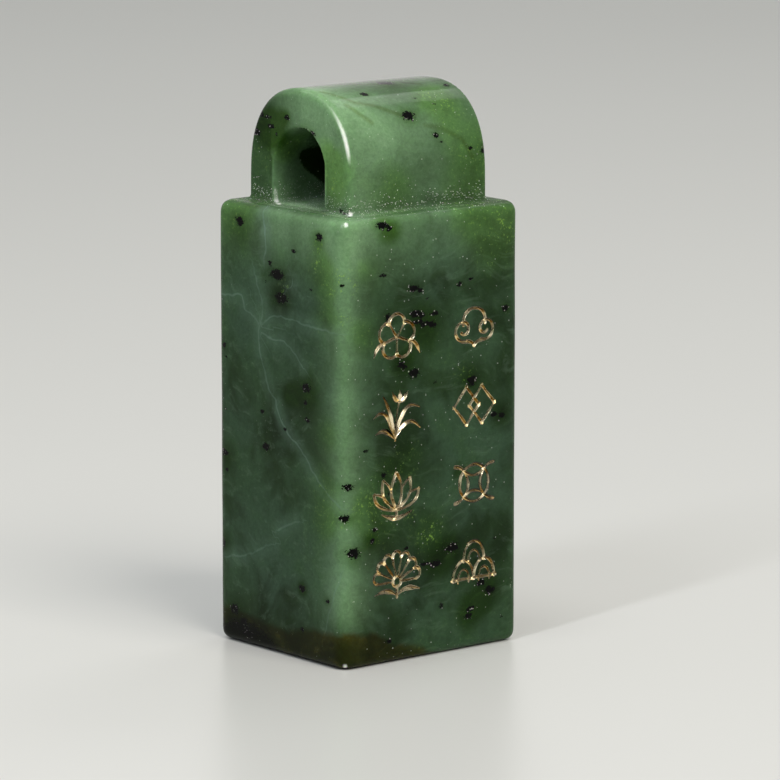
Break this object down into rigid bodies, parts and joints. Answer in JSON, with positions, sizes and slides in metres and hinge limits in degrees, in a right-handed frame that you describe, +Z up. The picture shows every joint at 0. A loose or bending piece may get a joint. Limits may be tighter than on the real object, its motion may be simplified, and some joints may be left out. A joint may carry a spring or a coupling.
{
  "type": "seal stamp",
  "caption": "Upright rectangular jade seal stamp with an arched, pierced knob for a cord, a relief-cut fret on its printing face and gilt-filled engraved ornaments on its front.",
  "frame": {"origin": "middle of the seal face, on the surface that the seal stands on", "axes": "+Z up through the knob; the engraved front faces -Y; the cord tunnel runs along X"},
  "size_m": [0.03, 0.0264, 0.074],
  "materials": {
    "jade": "polished, waxy, slightly translucent dark green nephrite with black specks",
    "gilt": "bright brushed-on gilding"
  },
  "bodies": {
    "root": {"seal_stone": "jade", "gilt_plum_blossom": "gilt", "gilt_orchid": "gilt", "gilt_lotus": "gilt", "gilt_chrysanthemum": "gilt", "gilt_ruyi_cloud": "gilt", "gilt_double_lozenge": "gilt", "gilt_coin_brocade": "gilt", "gilt_waves": "gilt"}
  },
  "joints": []
}
